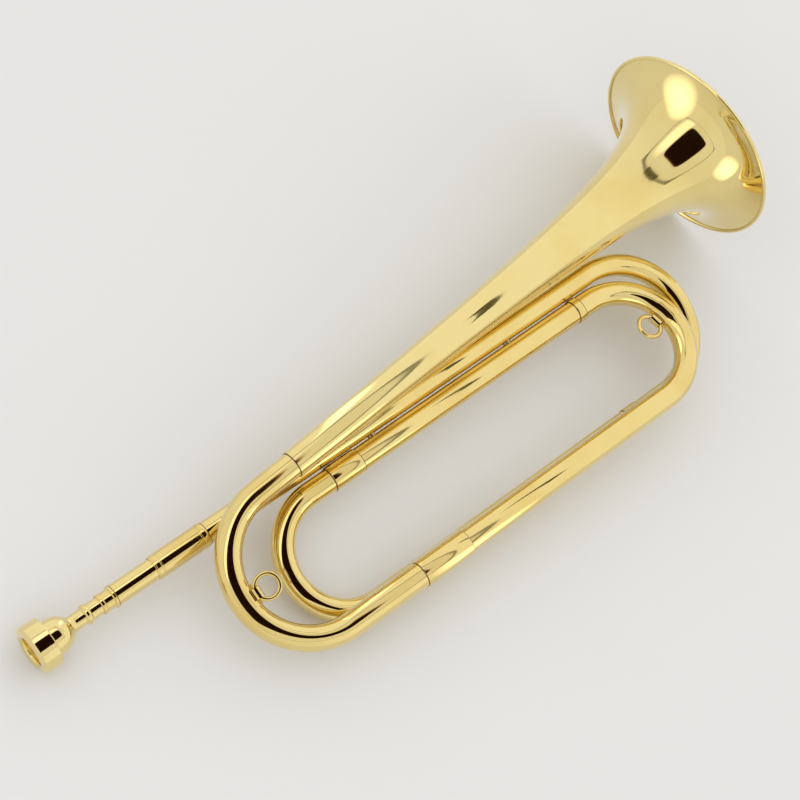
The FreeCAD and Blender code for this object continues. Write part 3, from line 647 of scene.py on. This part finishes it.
def soft_box_material(name, low, high):
    """A lamp behind cloth, bright in the middle and fading to nothing at its edges."""
    material, nodes, links = new_material(name)
    shrunk = [[(start + end) / 2 + (value - (start + end) / 2) * 0.7
               for value, start, end in zip(corner, low, high)] for corner in (low, high)]
    blend = nodes.new("ShaderNodeMixShader")
    links.new(inside(nodes, links, *shrunk, 0.98, 2.4), blend.inputs["Fac"])
    links.new(nodes.new("ShaderNodeBsdfTransparent").outputs["BSDF"], blend.inputs[1])
    links.new(plain_glow(nodes, LIGHT_WHITE, SOFT_BOX_LIGHT), blend.inputs[2])
    show_surface(nodes, links, blend.outputs["Shader"])
    return material


# Each soft box: its name, its direction from the bell's flare in degrees from the instrument's
# length, its distance and its two corners in metres.
SOFT_BOXES = (
    ("soft_box_across", 149.0, 0.24, (-0.085, -0.070), (0.085, 0.19)),
    ("soft_box_front", 232.0, 0.28, (-0.090, -0.085), (0.090, 0.060)),
)
FLARE_PLACE = (215.0, 27.0, 14.0)
TENT_WHITE = (1.0, 0.99, 0.97)
TENT_LIGHT, TENT_LIGHT_AT_BELL = 0.88, 1.02


def only_in_reflections(piece):
    """Leave a stage sheet to the polished metal, so that it throws no light or shadow."""
    for ray in ("camera", "diffuse", "shadow", "transmission", "volume_scatter"):
        setattr(piece, f"visible_{ray}", False)


def light_all_round():
    """White from every side, a little brighter on the bell's side."""
    world = bpy.data.worlds.new("studio")
    world.use_nodes = True
    nodes, links = world.node_tree.nodes, world.node_tree.links
    bell_side = nodes.new("ShaderNodeVectorMath")
    bell_side.operation = "DOT_PRODUCT"
    bell_side.inputs[1].default_value = ALONG
    links.new(nodes.new("ShaderNodeTexCoord").outputs["Generated"], bell_side.inputs[0])
    light = remap(nodes, links, bell_side.outputs["Value"], -0.2, 0.3, TENT_LIGHT, TENT_LIGHT_AT_BELL)
    links.new(light, nodes["Background"].inputs["Strength"])
    nodes["Background"].inputs["Color"].default_value = (*TENT_WHITE, 1.0)
    bpy.context.scene.world = world


def hang_ceiling():
    """The ceiling with its opening, and the slot below it."""
    facing = Matrix((ALONG, ACROSS, UPWARD)).transposed().to_4x4() @ Matrix.Rotation(CEILING_TURN, 4, "Z")
    seam_low = [value - CEILING_SEAM for value in CEILING_LOW]
    seam_high = [value + CEILING_SEAM for value in CEILING_HIGH]
    for name, height, low, high, material in (
            ("tent_ceiling", CEILING_HEIGHT, seam_low, seam_high, ceiling_material()),
            ("tent_slot", SLOT_HEIGHT, SLOT_LOW, SLOT_HIGH, slot_material())):
        place = spot(0) + Vector((0, 0, height))
        only_in_reflections(sheet_object(name, low, high, place, facing, material))


def stand_soft_boxes():
    """The lamps round the bell's flare, upright and facing it."""
    heading = math.atan2(ALONG.y, ALONG.x)
    for name, azimuth, distance, low, high in SOFT_BOXES:
        angle = heading + math.radians(azimuth)
        outward = Vector((math.cos(angle), math.sin(angle), 0))
        level = Vector((outward.y, -outward.x, 0))
        facing = Matrix((level, Vector((0, 0, 1)), -outward)).transposed().to_4x4()
        place = spot(*FLARE_PLACE) + outward * distance
        only_in_reflections(sheet_object(name, low, high, place, facing,
                                         soft_box_material(name, low, high)))


light_all_round()
hang_ceiling()
stand_soft_boxes()


CAMERA_DISTANCE = 1.181
CAMERA_RIGHT, CAMERA_UP = 0.0034, 0.0027
CAMERA_LENS, SENSOR_WIDTH = 101.25, 36.0
TILT = math.radians(22.85)
LIFT = math.radians(0.64)
ROLL = math.radians(34.0)


def photo_camera():
    """The viewpoint: nearly square to the coil, leaning towards the mouthpiece, rolled."""
    to_right = ALONG * math.cos(TILT) + UPWARD * math.sin(TILT)
    back = (-ALONG * math.sin(TILT) + UPWARD * math.cos(TILT)) * math.cos(LIFT) + ACROSS * math.sin(LIFT)
    down = to_right.cross(back).normalized()
    image_right = to_right * math.cos(ROLL) + down * math.sin(ROLL)
    image_down = down * math.cos(ROLL) - to_right * math.sin(ROLL)
    data = bpy.data.cameras.new("camera")
    data.lens = CAMERA_LENS
    data.sensor_width = SENSOR_WIDTH
    data.clip_start = 0.05
    data.clip_end = 50.0
    camera = bpy.data.objects.new("camera", data)
    bpy.context.scene.collection.objects.link(camera)
    viewpoint = spot(0) + back * CAMERA_DISTANCE + image_right * CAMERA_RIGHT - image_down * CAMERA_UP
    turn = Matrix((image_right, -image_down, back)).transposed()
    camera.matrix_world = Matrix.Translation(viewpoint) @ turn.to_4x4()
    bpy.context.scene.camera = camera


photo_camera()
bpy.context.scene.view_settings.view_transform = "Standard"
